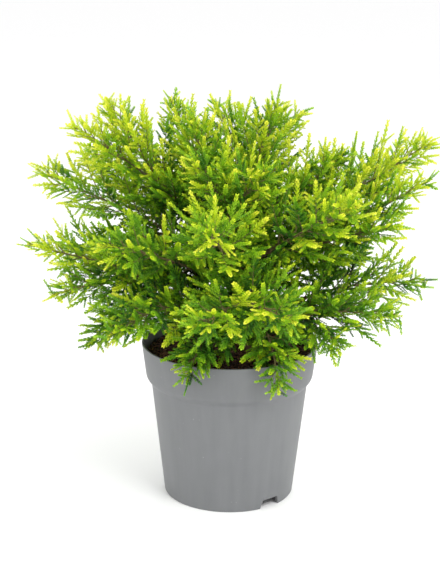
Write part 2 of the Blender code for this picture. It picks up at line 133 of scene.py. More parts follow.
# Every limb: name, whether a bare bough carries it, arch, and its plumes' tips as
# bearing from +X in degrees, reach from the axis and height
LIMBS = (
    ("skirt_1", False, 0.62, ((296, 0.103, 0.131),)),
    ("skirt_2", False, 0.52, ((247, 0.103, 0.141),)),
    ("lower_1", True, 0.22, ((352, 0.189, 0.222),)),
    ("lower_2", False, 0.42, ((176, 0.140, 0.142),)),
    ("lower_3", True, 0.20, ((101, 0.180, 0.212), (74, 0.172, 0.184))),
    ("lower_4", True, 0.20, ((338, 0.173, 0.200), (316, 0.140, 0.172))),
    ("lower_5", False, 0.22, ((226, 0.160, 0.192),)),
    ("lower_6", True, 0.20, ((155, 0.188, 0.222), (128, 0.176, 0.186))),
    ("lower_7", True, 0.20, ((40, 0.182, 0.206),)),
    ("lower_8", True, 0.16, ((288, 0.180, 0.226), (258, 0.172, 0.216))),
    ("lower_9", True, 0.12, ((183, 0.195, 0.253), (197, 0.177, 0.212))),
    ("middle_1", True, 0.10, ((66, 0.188, 0.286),)),
    ("middle_2", True, 0.12, ((222, 0.160, 0.277),)),
    ("middle_3", True, 0.10, ((347, 0.189, 0.326), (333, 0.173, 0.289))),
    ("middle_4", True, 0.08, ((108, 0.186, 0.304),)),
    ("middle_5", True, 0.08, ((263, 0.178, 0.308),)),
    ("middle_6", True, 0.08, ((26, 0.188, 0.322),)),
    ("middle_7", True, 0.08, ((146, 0.182, 0.318),)),
    ("middle_8", True, 0.08, ((312, 0.166, 0.318),)),
    ("middle_9", True, 0.08, ((179, 0.187, 0.322),)),
    ("middle_10", True, 0.00, ((0, 0.192, 0.355),)),
    ("upper_1", True, 0.04, ((246, 0.090, 0.350), (290, 0.098, 0.345))),
    ("upper_2", False, 0.04, ((350, 0.108, 0.347),)),
    ("upper_3", True, 0.02, ((100, 0.105, 0.374), (52, 0.118, 0.366))),
    ("upper_4", True, 0.02, ((176, 0.120, 0.389), (192, 0.153, 0.372))),
    ("upper_5", False, 0.00, ((140, 0.078, 0.386),)),
    ("upper_6", False, 0.00, ((30, 0.052, 0.388),)),
    ("upper_7", False, 0.00, ((222, 0.050, 0.381),)),
)

# How many plumes share one piece
PLUMES_A_PIECE = 4

# Each plume's stem. Places along it are shares of its way
STEM_RADIUS = 0.0015
STEM_TIP_RADIUS = 0.0005
STEM_RINGS = 14
STEM_SIDES = 5
STEM_STRAIGHT = 0.42
STEM_SHORT_OF_TIP = 0.6
PLUME_TIP_ROLL = 90

# The twigs on it, turned about it as in the part but set closer
GOLDEN_ANGLE = 137.5
PLUME_FLATNESS = 0.75
TWIG_BASE_ANGLE = 56.0
TWIG_TIP_ANGLE = 32.0
TWIG_UPWARD = 0.06
SIDE_TWIG_STEP = 0.0040
FEWEST_SIDE_TWIGS = 16
FIRST_TWIG_FROM_BOUGH = 0.02
FIRST_TWIG_FROM_TRUNK = 0.12
LAST_TWIG = 0.97
PROFILE_BASE = 0.55
PROFILE_SWELL = 0.45
PROFILE_START = 0.22
PROFILE_TAPER = 0.12
SIDE_TWIG_REACH = 0.0540
SIDE_TWIG_REACHES = (0.72, 1.18)
ROOM_SHARE = 0.62
LEAST_ROOM = 0.0020

# Shaded twigs along a bare bough
INNER_TWIGS = 9
FIRST_INNER_TWIG = 0.08
PAST_BARE_SHARE = 0.06
INNER_TWIG_REACH = 0.0400
INNER_TWIG_REACHES = (0.8, 1.2)
INNER_TWIG_TURN = 30
INNER_TWIG_AHEAD = 0.6
INNER_TWIG_OUT = 0.8

# One twig: its wood, and how it turns up and rolls
TWIG_RADIUS = 0.0007
TWIG_TIP_RADIUS = 0.0003
TWIG_SIDES = 3
TWIG_LIFTS = (0.02, 0.20)
TWIG_BEND_LIFT = 0.2
TWIG_WOOD_SHARE = 0.86
TWIG_ROLL = 38

# The shoots on a twig
SHOOT_STEP = 0.0036
SHOOT_STRETCH = 0.80
FIRST_SHOOT = 0.16
SHOOTS_SPAN = 0.78
SHOOT_ANGLE = 42.0
SHOOT_ANGLE_SPREAD = 7
SHOOT_OUT_OF_PLANE = 0.16
SHOOT_UPWARD = 0.07
SHOOT_LENGTH = 0.0190
SHOOT_LENGTHS = (0.62, 1.15)
SHOOT_SHORTENING = 0.30
SHOOT_WIDENING = 1.15
SHOOT_FLATNESS = 0.75
TIP_SHOOT_LENGTH = 0.0230
TIP_SHOOT_SHARE = 0.8
TIP_SHOOT_LENGTHS = (0.8, 1.1)
TIP_SHOOT_SINK = 0.2

# How near the twigs come to the pot
OVER_COMPOST = 0.0060
INSIDE_RIM = 0.0040
OUTSIDE_RIM = 0.0060
OVER_RIM = 0.0040

# One shoot, in shares of its length: a slim core, and whorls of pointed scales
CORE_SIDES = 3
CORE_ENDS = ((0.0, 0.040), (0.97, 0.018))
WHORLS = 9
FIRST_WHORL = 0.05
WHORL_STEP = 0.105
WHORL_TURN = 45
SCALES_A_WHORL = 4
SCALE_TURN = 8
SCALE_ROOT = 0.015
SCALE_SPREAD = 0.135
SCALE_NARROWING = 0.35
BELLY_AHEAD = 0.085
BELLY_OUT = 0.62
BELLY_HALF_WIDTH = 0.047
POINT_AHEAD = 0.150
FIRST_GOLDEN_WHORL = 6

# Plain colours, from the shaded inside to the sunlit tips
TONES = (
    ("inner_shade", (0.020, 0.075, 0.004)),
    ("deep_green", (0.055, 0.205, 0.007)),
    ("leaf_green", (0.155, 0.375, 0.008)),
    ("lime", (0.325, 0.560, 0.012)),
    ("golden", (0.590, 0.730, 0.020)),
    ("pale_tip", (0.830, 0.860, 0.070)),
)

# How they are dealt out: a tone is a place in that list, which grows outwards and upwards
CROWN_MIDDLE = (0.0, 0.0, 0.190)
CROWN_HALF_SIZE = (0.190, 0.185, 0.190)
CROWN_FOOT = 0.14
CROWN_HEIGHT = 0.25
TONE_RANGE = 3.1
TONE_OUTWARD = 0.74
TONE_OUTWARD_CURVE = 1.2
TONE_UPWARD = 0.08
TONE_START = 0.75
TONE_SPREAD = 0.70
PLUME_TIP_TONE = 0.5
TWIG_TIP_TONE = 0.35
# Shoots near a twig's root are darker: painted shade inside the plume
TWIG_ROOT_TONE = -0.9
SHOOT_TONE_SPREAD = 0.25

# Finishes: colour and roughness, the scale and amount of their grain, and their relief
LEAF = {"roughness": 0.55, "scale": 260.0, "amount": 0.55}
POT_PLASTIC = {"colour": (0.140, 0.145, 0.151), "roughness": 0.50, "scale": 60.0, "amount": 0.16}
BARK = {"colour": (0.170, 0.098, 0.058), "roughness": 0.9, "scale": 420.0, "amount": 1.1,
        "relief": (0.6, 0.0006)}
YOUNG_BARK = {"colour": (0.200, 0.160, 0.060), "roughness": 0.75, "scale": 300.0, "amount": 0.8}
COMPOST = {"colour": (0.060, 0.030, 0.018), "roughness": 0.95, "scale": 700.0, "amount": 1.3,
           "relief": (0.8, 0.0008)}
DARK_CHIPS = {"colour": (0.075, 0.034, 0.020), "roughness": 0.9, "scale": 500.0, "amount": 1.1}
RED_CHIPS = {"colour": (0.230, 0.100, 0.050), "roughness": 0.85, "scale": 500.0, "amount": 0.9}
GRAIN_DETAIL = 4.0

# Upright streaks and sparse pale specks on the pot
STREAK_STRETCH = (90.0, 90.0, 4.0)
STREAK_DETAIL = 3.0
STREAK_COLOUR = (0.225, 0.230, 0.236, 1.0)
STREAK_STRENGTH = 0.55
STREAK_RELIEF = (0.12, 0.0005)
SPECK_SCALE = 210.0
SPECK_CORE = 0.05
SPECK_EDGE = 0.11
SPECK_PATCH_SCALE = 55.0
SPECK_PATCH_FROM = 0.60
SPECK_PATCH_FULL = 0.68
SPECK_COLOUR = (0.62, 0.62, 0.62, 1.0)
SPECK_STRENGTH = 0.45

# The sockets of a Mix node that mixes two colours
MIX_SHARE = 0
MIX_UNDER = 6
MIX_OVER = 7
MIX_RESULT = 2

# The studio: lights as name, place, power in watts and width
LIGHTS = (
    ("key", (0.9, -1.2, 1.7), 26.0, 0.9),
    ("fill", (-1.4, -0.9, 1.1), 7.0, 1.2),
    ("back", (0.2, 1.5, 1.6), 9.0, 1.0),
)
LIGHTS_AIM = (0.0, 0.0, 0.2)
WORLD_COLOUR = (1.0, 1.0, 1.0, 1.0)
WORLD_STRENGTH = 1.05
FLOOR_REACH = 6.0
FLOOR_COLOUR = (0.93, 0.93, 0.93, 1.0)
FLOOR_ROUGHNESS = 0.9

# The camera, fitted to the photograph
CAMERA_PLACE = (-0.00995, -1.350, 0.5947)
CAMERA_PITCH = 16.23
CAMERA_ROLL = 0.46
SENSOR_WIDTH = 36.0
LENS = 88.93
FARTHEST_SEEN = 50.0

# Below this length, what is level in a direction is too short to turn by
NEARLY_UPRIGHT = 1e-6

# Seeds of the random draws
SEED = 41
CHIP_SEED = SEED + 5
FIRST_PLUME_SEED = SEED + 100


# Vectors and curves

def unit(vector):
    return vector / np.linalg.norm(vector)


def across(vector):
    """A level direction square to the vector."""
    level = np.cross((0.0, 0.0, 1.0), vector)
    if np.linalg.norm(level) < NEARLY_UPRIGHT:
        return np.array((1.0, 0.0, 0.0))
    return unit(level)


def turn(vector, axis, degrees):
    angle = math.radians(degrees)
    return (vector * math.cos(angle) + np.cross(axis, vector) * math.sin(angle)
            + axis * axis.dot(vector) * (1 - math.cos(angle)))


def at_bearing(degrees, reach, height):
    angle = math.radians(degrees)
    return np.array((reach * math.cos(angle), reach * math.sin(angle), height))


def bezier(start, bend, end, share):
    """Points of a three-point curve at the given shares of its way."""
    share = np.atleast_1d(share)[:, None]
    return (1 - share) ** 2 * start + 2 * share * (1 - share) * bend + share ** 2 * end


def bezier_direction(start, bend, end, share):
    return unit((1 - share) * (bend - start) + share * (end - bend))


# Where the trunk, limbs and plumes run

def trunk_ends():
    return np.array((*TRUNK_FOOT, COMPOST_LEVEL)), np.array(TRUNK_BEND), np.array(TRUNK_TOP)


def limb_curve(number, arch, tips):
    """The curve from the trunk's axis towards the middle of a limb's plume tips."""
    share = number / (len(LIMBS) - 1)
    height = LOWEST_FORK + (HIGHEST_FORK - LOWEST_FORK) * share
    foot, bend, top = trunk_ends()
    start = bezier(foot, bend, top, (height - foot[2]) / (top[2] - foot[2]))[0]
    goal = np.mean([at_bearing(*tip) for tip in tips], axis=0)
    run = math.hypot(*(goal - start)[:2])
    middle = start + (0.5 + BEND_OUTWARD * arch) * (goal - start)
    middle[2] = 0.5 * (start[2] + goal[2]) + arch * run
    return start, middle, goal


def plume_curves(number, bare, arch, tips):
    """Each plume's stem, from its bough's end or from the trunk."""
    start, middle, goal = limb_curve(number, arch, tips)
    curves = []
    for tip in tips:
        end = at_bearing(*tip)
        if bare:
            begin = bezier(start, middle, goal, BARE_SHARE)[0]
            ahead = bezier_direction(start, middle, goal, BARE_SHARE)
            bend = begin + ahead * STEM_STRAIGHT * np.linalg.norm(end - begin)
        else:
            begin, bend = start, middle
        curves.append((begin, bend, end))
    return curves


def twig_profile(share):
    """How long a twig is by its place on the stem: longest a quarter of the way up."""
    swell = math.sin(math.pi * min(1.0, PROFILE_START + share))
    return PROFILE_BASE + PROFILE_SWELL * swell - PROFILE_TAPER * share


# Materials

def add_node(tree, kind, inputs, **settings):
    """A shader node. An input's value is a plain one, or a socket that is linked to it."""
    node = tree.nodes.new("ShaderNode" + kind)
    for setting, value in settings.items():
        setattr(node, setting, value)
    for name, value in inputs.items():
        if isinstance(value, bpy.types.NodeSocket):
            tree.links.new(value, node.inputs[name])
        else:
            node.inputs[name].default_value = value
    return node


def add_relief(tree, height, strength, distance):
    """Bump from a pattern, on the material's shader."""
    bump = add_node(tree, "Bump", {"Height": height, "Strength": strength, "Distance": distance})
    tree.links.new(bump.outputs["Normal"], tree.nodes["Principled BSDF"].inputs["Normal"])


def noise_tint_group():
    """A colour made lighter and darker by a fine pattern, and the pattern as a mask."""
    group = bpy.data.node_groups.new("uneven tint", "ShaderNodeTree")
    face = group.interface
    face.new_socket("Color", in_out="INPUT", socket_type="NodeSocketColor")
    face.new_socket("Scale", in_out="INPUT", socket_type="NodeSocketFloat")
    face.new_socket("Amount", in_out="INPUT", socket_type="NodeSocketFloat")
    face.new_socket("Color", in_out="OUTPUT", socket_type="NodeSocketColor")
    face.new_socket("Mask", in_out="OUTPUT", socket_type="NodeSocketFloat")
    given = group.nodes.new("NodeGroupInput").outputs
    result = group.nodes.new("NodeGroupOutput").inputs
    where = add_node(group, "TexCoord", {}).outputs["Object"]
    grain = add_node(group, "TexNoise", {"Vector": where, "Scale": given["Scale"],
                                         "Detail": GRAIN_DETAIL}).outputs["Fac"]
    centred = add_node(group, "Math", {0: grain, 1: 0.5}, operation="SUBTRACT").outputs[0]
    swing = add_node(group, "Math", {0: centred, 1: given["Amount"], 2: 1.0},
                     operation="MULTIPLY_ADD").outputs[0]
    tint = add_node(group, "VectorMath", {}, operation="SCALE")
    group.links.new(given["Color"], tint.inputs[0])
    group.links.new(swing, tint.inputs["Scale"])
    group.links.new(tint.outputs[0], result["Color"])
    group.links.new(grain, result["Mask"])
    return group


def material(name, tint_group, colour, roughness, scale, amount, relief=None):
    """A plain finish with an uneven tint, and a relief of a strength and distance if given."""
    finish = bpy.data.materials.new(name)
    finish.use_nodes = True
    finish.diffuse_color = (*colour, 1.0)
    tree = finish.node_tree
    shader = tree.nodes["Principled BSDF"]
    tint = tree.nodes.new("ShaderNodeGroup")
    tint.node_tree = tint_group
    tint.inputs["Color"].default_value = (*colour, 1.0)
    tint.inputs["Scale"].default_value = scale
    tint.inputs["Amount"].default_value = amount
    tree.links.new(tint.outputs["Color"], shader.inputs["Base Color"])
    shader.inputs["Roughness"].default_value = roughness
    if relief:
        add_relief(tree, tint.outputs["Mask"], *relief)
    return finish


def ramp(tree, value, first, first_shade, second, second_shade):
    """A mask that goes from one shade to another between two values."""
    node = add_node(tree, "ValToRGB", {"Fac": value})
    steps = node.color_ramp.elements
    for step, place, shade in ((steps[0], first, first_shade), (steps[1], second, second_shade)):
        step.position = place
        step.color = (shade, shade, shade, 1)
    return node.outputs["Color"]


def multiplied(tree, first, second):
    return add_node(tree, "Math", {0: first, 1: second}, operation="MULTIPLY").outputs[0]


def overlaid(tree, under, over, share):
    """A colour with a plain one laid over it by a mask."""
    mix = add_node(tree, "Mix", {}, data_type="RGBA")
    tree.links.new(share, mix.inputs[MIX_SHARE])
    tree.links.new(under, mix.inputs[MIX_UNDER])
    mix.inputs[MIX_OVER].default_value = over
    return mix.outputs[MIX_RESULT]


def pot_material(tint_group):
    """Matt grey moulded plastic with faint upright streaks and a few pale specks."""
    finish = material("pot plastic", tint_group, **POT_PLASTIC)
    tree = finish.node_tree
    tint = next(node for node in tree.nodes if node.type == "GROUP").outputs["Color"]
    where = add_node(tree, "TexCoord", {}).outputs["Object"]
    upright = add_node(tree, "Mapping", {"Vector": where, "Scale": STREAK_STRETCH}).outputs["Vector"]
    streaks = add_node(tree, "TexNoise", {"Vector": upright, "Scale": 1.0,
                                          "Detail": STREAK_DETAIL}).outputs["Fac"]
    cells = add_node(tree, "TexVoronoi", {"Vector": where, "Scale": SPECK_SCALE}).outputs["Distance"]
    dots = ramp(tree, cells, SPECK_CORE, 1, SPECK_EDGE, 0)
    patches = add_node(tree, "TexNoise", {"Vector": where, "Scale": SPECK_PATCH_SCALE}).outputs["Fac"]
    patches = ramp(tree, patches, SPECK_PATCH_FROM, 0, SPECK_PATCH_FULL, 1)
    specks = multiplied(tree, multiplied(tree, dots, patches), SPECK_STRENGTH)
    streaked = overlaid(tree, tint, STREAK_COLOUR, multiplied(tree, streaks, STREAK_STRENGTH))
    dusty = overlaid(tree, streaked, SPECK_COLOUR, specks)
    tree.links.new(dusty, tree.nodes["Principled BSDF"].inputs["Base Color"])
    add_relief(tree, streaks, *STREAK_RELIEF)
    return finish


# Objects and meshes

def new_object(name, data):
    made = bpy.data.objects.new(name, data)
    bpy.context.scene.collection.objects.link(made)
    return made


def new_piece(name, mesh, materials, nodes=()):
    """A visible piece on the one body, in place of the frame's nodes that are named."""
    piece = new_object(name, mesh)
    for finish in materials:
        mesh.materials.append(finish)
    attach(piece, "root")
    if nodes:
        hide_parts(*nodes)


def mesh_of(bm, name):
    mesh = bpy.data.meshes.new(name)
    bm.to_mesh(mesh)
    bm.free()
    return mesh


def new_ring(geometry):
    """The corners that an extrusion added, and the edges between them."""
    ring = [item for item in geometry if isinstance(item, bmesh.types.BMVert)]
    edges = [item for item in geometry if isinstance(item, bmesh.types.BMEdge)
             and item.verts[0] in ring and item.verts[1] in ring]
    return ring, edges


def joined_mesh(name, points, faces, tones=None):
    """One mesh from arrays of points and three-cornered faces."""
    mesh = bpy.data.meshes.new(name)
    mesh.vertices.add(len(points))
    mesh.vertices.foreach_set("co", np.asarray(points, dtype=np.float32).ravel())
    mesh.loops.add(3 * len(faces))
    mesh.loops.foreach_set("vertex_index", np.asarray(faces, dtype=np.int32).ravel())
    mesh.polygons.add(len(faces))
    mesh.polygons.foreach_set("loop_start", np.arange(0, 3 * len(faces), 3, dtype=np.int32))
    if tones is not None:
        mesh.polygons.foreach_set("material_index", np.asarray(tones, dtype=np.int32))
    mesh.update(calc_edges=True)
    mesh.validate()
    return mesh


# The pot

def turned(profile, sides):
    """A solid turned about Z from (radius, height) points that end on the axis."""
    bm = bmesh.new()
    points = [bm.verts.new((radius, 0.0, height)) for radius, height in profile]
    edges = [bm.edges.new(pair) for pair in zip(points, points[1:])]
    bmesh.ops.spin(bm, geom=points + edges, cent=(0, 0, 0), axis=(0, 0, 1),
                   angle=2 * math.pi, steps=sides, use_merge=True, use_duplicate=False)
    bmesh.ops.remove_doubles(bm, verts=bm.verts, dist=MERGE_DISTANCE)
    bmesh.ops.recalc_face_normals(bm, faces=bm.faces)
    return mesh_of(bm, "turned")


def rounded(low, corner, high, cut, steps):
    """A corner of an outline drawn as a short curve."""
    low, corner, high = (np.array(point) for point in (low, corner, high))
    start = corner + unit(low - corner) * cut
    end = corner + unit(high - corner) * cut
    return [tuple(point) for point in bezier(start, corner, end, np.linspace(0, 1, steps))]


def pot_profile():
    """The pot's outline, from the middle of its underside round to the middle of its floor."""
    ring_inside = BASE_RADIUS - FOOT_RING_WIDTH
    foot = (BASE_RADIUS, 0.0)
    body_top = (BODY_TOP_RADIUS, BODY_TOP_HEIGHT)
    band_foot = (BAND_FOOT_RADIUS, BAND_FOOT_HEIGHT)
    rim = (RIM_RADIUS, RIM_HEIGHT)
    inner_rim = (RIM_RADIUS - WALL, RIM_HEIGHT)
    inner_band_foot = (BAND_FOOT_RADIUS - WALL, BAND_FOOT_HEIGHT)
    inner_body_top = (BODY_TOP_RADIUS - WALL, BODY_TOP_HEIGHT)
    slope = (BODY_TOP_RADIUS - BASE_RADIUS) / BODY_TOP_HEIGHT
    floor_edge = (BASE_RADIUS + slope * FLOOR_TOP - WALL, FLOOR_TOP)
    profile = [(0.0, FLOOR_UNDERSIDE), (ring_inside + FOOT_RING_DRAFT, FLOOR_UNDERSIDE), (ring_inside, 0.0)]
    profile += rounded((ring_inside, 0.0), foot, body_top, *FOOT_ROUND)
    profile += rounded(foot, body_top, band_foot, *SHOULDER_ROUND)
    profile += rounded(body_top, band_foot, rim, *BAND_FOOT_ROUND)
    profile += rounded(band_foot, rim, inner_rim, *RIM_ROUND)
    profile += rounded(rim, inner_rim, inner_band_foot, *INNER_RIM_ROUND)
    profile += [inner_band_foot, inner_body_top, floor_edge, (0.0, FLOOR_TOP)]
    return profile


def notch_cutter(bearing):
    """A wedge that opens the foot ring to one side of the pot."""
    bm = bmesh.new()
    bmesh.ops.create_cube(bm, size=1.0)
    inner = BASE_RADIUS - NOTCH_DEPTH
    outer = BASE_RADIUS + CUTTER_OUTWARD
    for vert in bm.verts:
        high = vert.co.z > 0
        half = 0.5 * (NOTCH_TOP_WIDTH if high else NOTCH_WIDTH)
        vert.co = (outer if vert.co.x > 0 else inner, math.copysign(half, vert.co.y),
                   NOTCH_HEIGHT if high else -CUTTER_BELOW)
    bmesh.ops.rotate(bm, verts=bm.verts, matrix=Matrix.Rotation(math.radians(bearing), 3, "Z"))
    return new_object("notch", mesh_of(bm, "notch"))


def build_pot(plastic):
    pot = new_object("pot_cutting", turned(pot_profile(), POT_SIDES))
    for bearing in NOTCH_BEARINGS:
        cutter = notch_cutter(bearing)
        cut = pot.modifiers.new("notch", "BOOLEAN")
        cut.operation = "DIFFERENCE"
        cut.object = cutter
        mesh = bpy.data.meshes.new_from_object(pot.evaluated_get(bpy.context.evaluated_depsgraph_get()))
        pot.modifiers.clear()
        pot.data = mesh
        bpy.data.objects.remove(cutter)
    mesh = pot.data
    bpy.data.objects.remove(pot)
    mesh.materials.clear()
    mesh.shade_smooth()
    mesh.set_sharp_from_angle(angle=math.radians(POT_SHARP_ANGLE))
    new_piece("moulded_pot", mesh, [plastic], ["pot"])


# The compost

def build_compost(finish, chip_finishes):
    """A rough round sheet with a skirt and an underside, and the chips that lie on it."""
    reach = RIM_RADIUS - WALL - COMPOST_FROM_WALL
    bm = bmesh.new()
    bmesh.ops.create_grid(bm, x_segments=COMPOST_CELLS, y_segments=COMPOST_CELLS, size=reach)
    outer = [vert for vert in bm.verts if math.hypot(vert.co.x, vert.co.y) > reach * COMPOST_TRIM]
    bmesh.ops.delete(bm, geom=outer, context="VERTS")
    for vert in bm.verts:
        rough = noise.fractal(Vector(vert.co) * COMPOST_GRAIN, *COMPOST_NOISE)
        vert.co.z = COMPOST_LEVEL - COMPOST_SINK + COMPOST_ROUGHNESS * rough
    rim = [edge for edge in bm.edges if edge.is_boundary]
    ring, edges = new_ring(bmesh.ops.extrude_edge_only(bm, edges=rim)["geom"])
    for vert in ring:
        vert.co.z = COMPOST_LEVEL - COMPOST_DEPTH
    bmesh.ops.holes_fill(bm, edges=edges)
    bmesh.ops.recalc_face_normals(bm, faces=bm.faces)
    mesh = mesh_of(bm, "compost")
    mesh.shade_smooth()
    new_piece("compost_top", mesh, [finish], ["compost"])
    build_chips(reach * CHIP_CIRCLE, chip_finishes)


def build_chips(reach, finishes):
    """Uneven little boxes: long thin fibres and short broad flakes."""
    draw = np.random.default_rng(CHIP_SEED)
    corners = np.array([(x, y, z) for x in (-1, 1) for y in (-1, 1) for z in (-1, 1)], float) * 0.5
    faces = np.array(((0, 1, 3), (0, 3, 2), (4, 6, 7), (4, 7, 5), (0, 4, 5), (0, 5, 1),
                      (2, 3, 7), (2, 7, 6), (0, 2, 6), (0, 6, 4), (1, 5, 7), (1, 7, 3)))
    points, all_faces, tones = [], [], []
    for number in range(CHIP_COUNT):
        radius = reach * math.sqrt(draw.uniform())
        bearing = draw.uniform(0, 2 * math.pi)
        fibre = draw.uniform() < FIBRE_SHARE
        length = draw.uniform(*(FIBRE_LENGTHS if fibre else FLAKE_LENGTHS))
        width = draw.uniform(*(FIBRE_WIDTHS if fibre else FLAKE_WIDTHS))
        size = np.array((length, width, draw.uniform(*CHIP_THICKNESSES)))
        shape = corners * size * draw.uniform(*CHIP_UNEVENNESS, corners.shape)
        spin = np.array(Matrix.Rotation(draw.uniform(0, math.pi * 2), 3, "Z")
                        @ Matrix.Rotation(draw.normal(0, CHIP_PITCH), 3, "Y")
                        @ Matrix.Rotation(draw.normal(0, CHIP_ROLL), 3, "X"))
        place = np.array((radius * math.cos(bearing), radius * math.sin(bearing),
                          COMPOST_LEVEL + draw.uniform(0.0, CHIP_RISE)))
        points.append(shape @ spin.T + place)
        all_faces.append(faces + len(corners) * number)
        tones.append(np.full(len(faces), int(draw.uniform() < RED_CHIP_SHARE)))
    mesh = joined_mesh("chips", np.concatenate(points), np.concatenate(all_faces), np.concatenate(tones))
    new_piece("bark_chips", mesh, finishes)


# The trunk and boughs

def add_limb(bm, points, radii, sides, relief, shift):
    """A limb with bark relief: a ring drawn out along the points."""
    steps = np.gradient(points, axis=0)
    side = across(steps[0])
    ring = None
    for place, step, radius in zip(points, steps, radii):
        ahead = unit(step)
        side = unit(side - ahead * side.dot(ahead))
        over = np.cross(ahead, side)
        if ring is None:
            ring = bmesh.ops.create_circle(bm, cap_ends=True, radius=radius, segments=sides)["verts"]
            edges = list(dict.fromkeys(edge for vert in ring for edge in vert.link_edges))
        else:
            ring, edges = new_ring(bmesh.ops.extrude_edge_only(bm, edges=edges)["geom"])
        for order, vert in enumerate(ring):
            angle = 2 * math.pi * order / sides
            out = math.cos(angle) * side + math.sin(angle) * over
            where = Vector((place + out * radius) * BARK_GRAIN) + Vector((shift, 0, 0))
            bark = 1 + relief * (noise.fractal(where, *BARK_NOISE) - BARK_LEVEL)
            vert.co = place + out * radius * bark
    bmesh.ops.holes_fill(bm, edges=edges)


def build_limbs(bark):
    bm = bmesh.new()
    shares = np.linspace(0.0, 1.0, TRUNK_RINGS)
    rise = shares * (TRUNK_TOP[2] - COMPOST_LEVEL)
    radii = TRUNK_RADIUS + (TRUNK_TOP_RADIUS - TRUNK_RADIUS) * shares
    radii = radii + ROOT_FLARE * np.exp(-rise / FLARE_HEIGHT)
    add_limb(bm, bezier(*trunk_ends(), shares), radii, TRUNK_SIDES, TRUNK_RELIEF, 0.0)
    shares = np.linspace(0.0, BARE_SHARE, BOUGH_RINGS)
    radii = np.linspace(BOUGH_RADIUS, BOUGH_TIP_RADIUS, BOUGH_RINGS)
    for number, (name, bare, arch, tips) in enumerate(LIMBS):
        if bare:
            points = bezier(*limb_curve(number, arch, tips), shares)
            add_limb(bm, points, radii, BOUGH_SIDES, BOUGH_RELIEF, BARK_SHIFT * number)
    bmesh.ops.recalc_face_normals(bm, faces=bm.faces)
    mesh = mesh_of(bm, "limbs")
    mesh.shade_smooth()
    nodes = ["trunk"] + ["bough_" + name for name, bare, arch, tips in LIMBS if bare]
    new_piece("bark_limbs", mesh, [bark], nodes)


# The growth of a plume. Shoots are kept as root, direction, side, length and tone, and
# twigs as their points, radius at the root, radius at the tip and number of sides

def place_tone(place, draw):
    """A tone by place: dark inside as painted shade, golden high up and outside, the plant's own gold
    brightened as painted sunlight.
    """
    away = np.linalg.norm((place - np.array(CROWN_MIDDLE)) / np.array(CROWN_HALF_SIZE))
    height = (place[2] - CROWN_FOOT) / CROWN_HEIGHT
    outward = TONE_OUTWARD * away ** TONE_OUTWARD_CURVE
    return TONE_RANGE * (outward + TONE_UPWARD * height) + draw.normal(TONE_START, TONE_SPREAD)


def meets_pot(points):
    """Whether a twig would reach into the pot's rim or the compost."""
    radius = np.hypot(points[:, 0], points[:, 1])
    height = points[:, 2]
    inner_radius = RIM_RADIUS - WALL
    over_compost = (radius < inner_radius) & (height < COMPOST_LEVEL + OVER_COMPOST)
    near_rim = (radius >= inner_radius - INSIDE_RIM) & (radius < RIM_RADIUS + OUTSIDE_RIM)
    return bool(np.any(over_compost | (near_rim & (height < RIM_HEIGHT + OVER_RIM))))


def grow_twig(shoots, twigs, root, ahead, reach, draw):
    """A side twig that turns up a little, with shoots along both sides and one at its tip."""
    lift = np.array((0, 0, draw.uniform(*TWIG_LIFTS) * reach))
    points = np.array([root, root + ahead * 0.5 * reach + TWIG_BEND_LIFT * lift,
                       root + ahead * TWIG_WOOD_SHARE * reach + lift])
    if meets_pot(points):
        return
    twigs.append((points, TWIG_RADIUS, TWIG_TIP_RADIUS, TWIG_SIDES))
    side = turn(across(ahead), ahead, draw.normal(0, TWIG_ROLL))
    tone = place_tone(root + ahead * reach, draw)
    tip_ahead = unit(points[2] - points[1])
    tip_length = min(TIP_SHOOT_LENGTH, TIP_SHOOT_SHARE * reach) * draw.uniform(*TIP_SHOOT_LENGTHS)
    tip_root = points[2] - TIP_SHOOT_SINK * TIP_SHOOT_LENGTH * tip_ahead
    shoots.append((tip_root, tip_ahead, side, tip_length, tone + TWIG_TIP_TONE))
    number = int(reach * SHOOT_STRETCH / SHOOT_STEP)
    for order in range(number):
        share = FIRST_SHOOT + SHOOTS_SPAN * (order + 0.5) / number
        place = bezier(points[0], points[1], points[2], share)[0]
        left = 1 if order % 2 else -1
        angle = math.radians(SHOOT_ANGLE + draw.normal(0, SHOOT_ANGLE_SPREAD))
        shoot_ahead = unit(math.cos(angle) * ahead + left * math.sin(angle) * side
                           + draw.normal(0, SHOOT_OUT_OF_PLANE) * np.cross(ahead, side)
                           + np.array((0, 0, SHOOT_UPWARD)))
        length = SHOOT_LENGTH * draw.uniform(*SHOOT_LENGTHS) * (1.0 - SHOOT_SHORTENING * share)
        # painted shade: darker towards the twig's root
        inner = TWIG_ROOT_TONE * (1 - share)
        shoots.append((place, shoot_ahead, side, length, tone + inner + draw.normal(0, SHOOT_TONE_SPREAD)))


